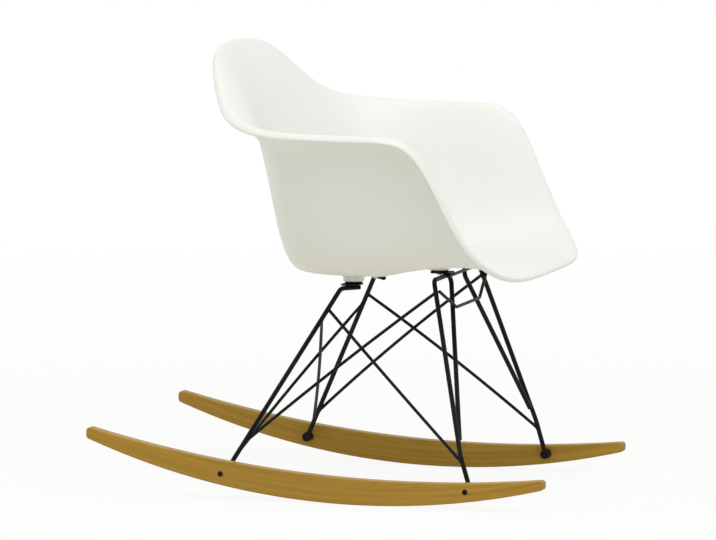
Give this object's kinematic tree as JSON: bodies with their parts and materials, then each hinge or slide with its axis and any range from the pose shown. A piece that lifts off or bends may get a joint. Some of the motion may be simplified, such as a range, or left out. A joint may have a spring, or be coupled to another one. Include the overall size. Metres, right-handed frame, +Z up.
{
  "type": "rocking chair",
  "caption": "Moulded plastic armchair shell on a welded black rod base with curved wooden rocker runners.",
  "frame": {"origin": "on the floor, half way along the runners and on the chair's middle plane", "axes": "+Z up, -Y the way the sitter faces, +X the sitter's left; the chair stands in the pose of the picture, touching the floor on the two runners' arcs"},
  "size_m": [0.6214, 0.81, 0.7563],
  "materials": {
    "shell_plastic": "white moulded polypropylene with a fine satin grain",
    "black_steel": "black powder coat on round steel rod",
    "maple": "golden lacquered maple, grain along the runner",
    "mount_rubber": "black moulded rubber",
    "zinc_steel": "zinc plated",
    "black_steel_fastener": "black oxide",
    "insert_brass": "knurled insert, satin"
  },
  "bodies": {
    "root": {"foot_bolts": "black_steel_fastener", "foot_boss_front_left": "black_steel", "foot_boss_front_right": "black_steel", "foot_boss_rear_left": "black_steel", "foot_boss_rear_right": "black_steel", "foot_washers": "black_steel_fastener", "front_cross_rail": "black_steel", "front_hairpin_leg_left": "black_steel", "front_hairpin_leg_right": "black_steel", "front_tie_bar": "black_steel", "mount_plate_front_left": "black_steel", "mount_plate_front_right": "black_steel", "mount_plate_rear_left": "black_steel", "mount_plate_rear_right": "black_steel", "mount_screws": "zinc_steel", "mount_washers": "zinc_steel", "rear_cross_brace_from_left": "black_steel", "rear_cross_brace_from_right": "black_steel", "rear_leg_left": "black_steel", "rear_leg_right": "black_steel", "rocker_runner_left": "maple", "rocker_runner_right": "maple", "rubber_mount_front_left": "mount_rubber", "rubber_mount_front_right": "mount_rubber", "rubber_mount_rear_left": "mount_rubber", "rubber_mount_rear_right": "mount_rubber", "seat_shell": "shell_plastic", "shell_threaded_inserts": "insert_brass", "side_brace_falling_left": "black_steel", "side_brace_falling_right": "black_steel", "side_brace_rising_left": "black_steel", "side_brace_rising_right": "black_steel"}
  },
  "joints": []
}
